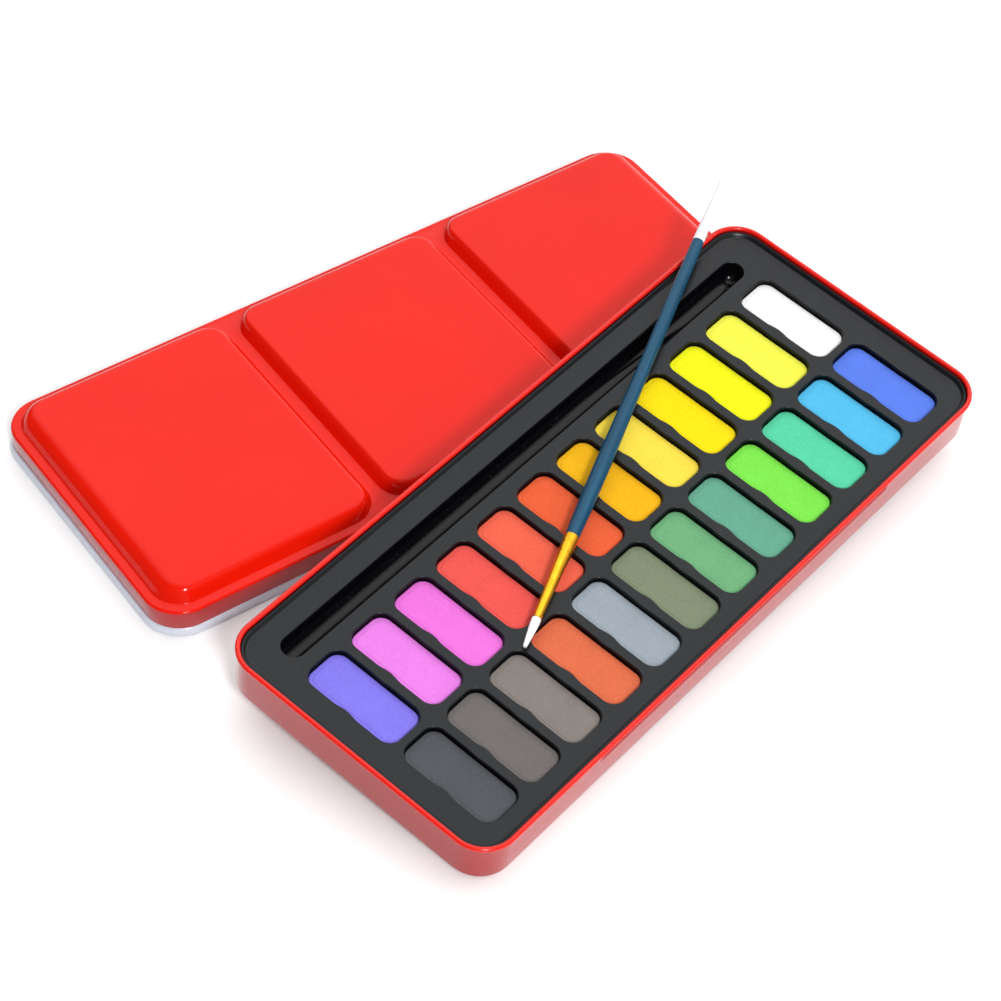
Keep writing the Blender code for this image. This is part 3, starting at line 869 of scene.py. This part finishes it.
def build_ferrule(gilt):
    start, end = HAIR_LENGTH / MM, FERRULE_END / MM
    stations = [start, start + 0.15, start + 0.4] + list(np.arange(start + 2, 31.5, 2.0))
    stations += list(np.arange(32.0, 38.2, 0.2)) + [38.8, end - 0.35, end - 0.1, end]
    outer = []
    for x, radius in eased(FERRULE_PROFILE, stations):
        place = x / MM
        edge = max(0.0, 1.0 - (place - start) / 0.3)
        outer.append((x, radius - (crimp(place) + 0.1 * edge) * MM))
    inner = [(x, radius - FERRULE_WALL) for x, radius in reversed(outer)]
    builder = bmesh.new()
    skin(builder, turned_rings(outer + inner, ROUND_SIDES), closed=True)
    ferrule = piece("ferrule_tube", builder, BRUSH_FRAME, [gilt], "brush",
                    ["brush_ferrule"])
    sharpen(ferrule, 50.0)


def build_hairs(nylon):
    stations = list(np.linspace(0.15, HAIR_LENGTH / MM, 22))
    tuft = [(x, radius * TUFT_SHARE) for x, radius in eased(HAIR_PROFILE, stations)]
    # The root goes on inside the ferrule.
    tuft += [(HAIR_LENGTH + 0.2 * MM, 1.0 * MM), (HAIR_LENGTH + 6.0 * MM, 0.95 * MM)]
    builder = bmesh.new()
    rows = skin(builder, turned_rings(tuft, TUFT_SIDES))
    fan(builder, rows[0], (0.05 * MM, 0.0, 0.0))
    fan(builder, rows[-1], (tuft[-1][0], 0.0, 0.0))
    piece("hair_tuft", builder, BRUSH_FRAME, [nylon], "brush", ["brush_hairs"])

    # Each strand lies at its own angle and depth, twists a little and stops short of the tip.
    chance = np.random.default_rng(11)
    turns = [math.tau * k / STRAND_SIDES for k in range(STRAND_SIDES)]
    builder = bmesh.new()
    for _ in range(STRANDS):
        angle = chance.uniform(0.0, math.tau)
        reach = math.sqrt(chance.uniform(0.72, 1.0))
        first = chance.uniform(0.0, 1.0) ** 2 * 1.4
        path = eased(HAIR_PROFILE, np.linspace(HAIR_LENGTH / MM, first, STRAND_STEPS + 1))
        twist = chance.uniform(-0.12, 0.12)
        rings = []
        for step, (x, radius) in enumerate(path):
            around = angle + twist * step / STRAND_STEPS
            spot = Vector((x, radius * reach * math.cos(around), radius * reach * math.sin(around)))
            thin = STRAND_RADIUS * (1.0 - STRAND_TAPER * step / STRAND_STEPS)
            rings.append([spot + Vector((0.0, thin * math.cos(turn), thin * math.sin(turn)))
                          for turn in turns])
        rows = skin(builder, rings)
        builder.faces.new(rows[0])
        builder.faces.new(rows[-1])
    piece("hair_strands", builder, BRUSH_FRAME, [nylon], "brush", [])


# ===========================================================================
# Studio
# ===========================================================================

def build_lamp():
    """A softbox aimed at the frame's origin; azimuth 0 is at +Y and 90 at +X."""
    lamp = bpy.data.lights.new("key_lamp", "AREA")
    lamp.shape = "RECTANGLE"
    lamp.size = lamp.size_y = LAMP_SIDE
    lamp.energy = LAMP_WATTS
    softbox = bpy.data.objects.new("key_lamp", lamp)
    bpy.context.scene.collection.objects.link(softbox)
    azimuth, elevation = math.radians(LAMP_AZIMUTH), math.radians(LAMP_ELEVATION)
    flat = math.cos(elevation) * LAMP_DISTANCE
    softbox.location = (flat * math.sin(azimuth), flat * math.cos(azimuth),
                        math.sin(elevation) * LAMP_DISTANCE)
    softbox.rotation_euler = (-softbox.location).to_track_quat("-Z", "Y").to_euler()


def build_world():
    """A pale room that is dim but for its glows."""
    world = bpy.data.worlds.new("studio")
    bpy.context.scene.world = world
    world.use_nodes = True
    tree = world.node_tree
    back = tree.nodes["Background"]
    place = tree.nodes.new("ShaderNodeTexCoord")
    total = None
    for way, starts, full, base, bright in GLOWS:
        dot = tree.nodes.new("ShaderNodeVectorMath")
        dot.operation = "DOT_PRODUCT"
        dot.inputs[1].default_value = Vector(way).normalized()
        tree.links.new(place.outputs["Generated"], dot.inputs[0])
        ramp = tree.nodes.new("ShaderNodeMapRange")
        ramp.interpolation_type = "SMOOTHSTEP"
        ramp.inputs["From Min"].default_value = starts
        ramp.inputs["From Max"].default_value = full
        ramp.inputs["To Min"].default_value = base
        ramp.inputs["To Max"].default_value = bright
        tree.links.new(dot.outputs["Value"], ramp.inputs["Value"])
        if total is None:
            total = ramp.outputs["Result"]
        else:
            add = tree.nodes.new("ShaderNodeMath")
            tree.links.new(total, add.inputs[0])
            tree.links.new(ramp.outputs["Result"], add.inputs[1])
            total = add.outputs["Value"]
    tree.links.new(total, back.inputs["Strength"])
    back.inputs["Color"].default_value = (1.0, 1.0, 1.0, 1.0)


def build_table():
    builder = bmesh.new()
    bmesh.ops.create_grid(builder, x_segments=8, y_segments=8, size=TABLE_HALF)
    mesh = bpy.data.meshes.new("table")
    builder.to_mesh(mesh)
    builder.free()
    mesh.materials.append(table_top("table_top"))
    table = bpy.data.objects.new("table", mesh)
    bpy.context.scene.collection.objects.link(table)
    table.location.z = CAD_BOX[0][2]


def build_camera():
    camera_data = bpy.data.cameras.new("camera")
    camera_data.lens = VIEW_LENS
    camera_data.sensor_width = 36.0
    camera_data.clip_start = 0.01
    camera = bpy.data.objects.new("camera", camera_data)
    bpy.context.scene.collection.objects.link(camera)
    way = Vector((math.cos(VIEW_ELEVATION) * math.sin(VIEW_AZIMUTH),
                  math.cos(VIEW_ELEVATION) * math.cos(VIEW_AZIMUTH),
                  -math.sin(VIEW_ELEVATION)))
    turn = way.to_track_quat("-Z", "Y").to_matrix().to_4x4()
    camera.matrix_world = (Matrix.Translation(VIEW_TARGET - way * VIEW_DISTANCE) @ turn
                           @ Matrix.Rotation(VIEW_ROLL, 4, "Z"))
    bpy.context.scene.camera = camera


build_table()
build_world()
build_lamp()
build_camera()
bpy.context.scene.view_settings.view_transform = "Standard"

red_rim = lacquer("red_rim_lacquer", (0.72, 0.010, 0.004), 0.2, 1.34, clear=0.15)
# The tin's wall lacquer is a darker copy of the rim's red with more clear coat: painted shade on
# the walls.
red_wall_painted_shade = lacquer("red_wall_painted_shade_lacquer", (0.39, 0.008, 0.010), 0.2, 1.38, clear=0.45)
# The lid's skirt lacquer is a darker copy of the lid's red: painted shade on its sides.
red_skirt_painted_shade = lacquer("red_skirt_painted_shade_lacquer", (0.39, 0.008, 0.010), 0.2, 1.38, clear=0.3)
red_lid = lacquer("red_lid_lacquer", (0.735, 0.0090, 0.0014), 0.1, 1.275)
enamel = lacquer("white_enamel", (0.62, 0.66, 0.75), 0.2, 1.45, clear=0.2)
plastic = moulded_plastic("black_moulding", (0.005, 0.0065, 0.0085), 1.355, 0.29)
# The well and groove plastics are darker copies of the moulding, the well's with weaker reflection
# and the groove's glossier: painted shade in the recesses.
well_black_painted_shade = moulded_plastic("black_well_painted_shade", (0.002, 0.002, 0.003), 1.15, 0.4)
groove_black_painted_shade = moulded_plastic("black_groove_painted_shade", (0.002, 0.002, 0.003), 1.32, 0.16)
teal = brush_lacquer("teal_lacquer", colour(0.055, 0.36, 0.49), colour(0.03, 0.27, 0.40))
white_dip = brush_lacquer("white_dip", (0.88, 0.89, 0.90), (0.84, 0.85, 0.87))

build_tin(red_rim, red_wall_painted_shade)
build_insert([plastic, well_black_painted_shade, groove_black_painted_shade])
build_cakes()
build_lid([red_lid, red_skirt_painted_shade, enamel])
build_handle(teal, white_dip)
build_ferrule(ferrule_metal("gilt_ferrule", (0.95, 0.50, 0.03)))
build_hairs(nylon_hair("white_nylon", (0.94, 0.94, 0.93)))
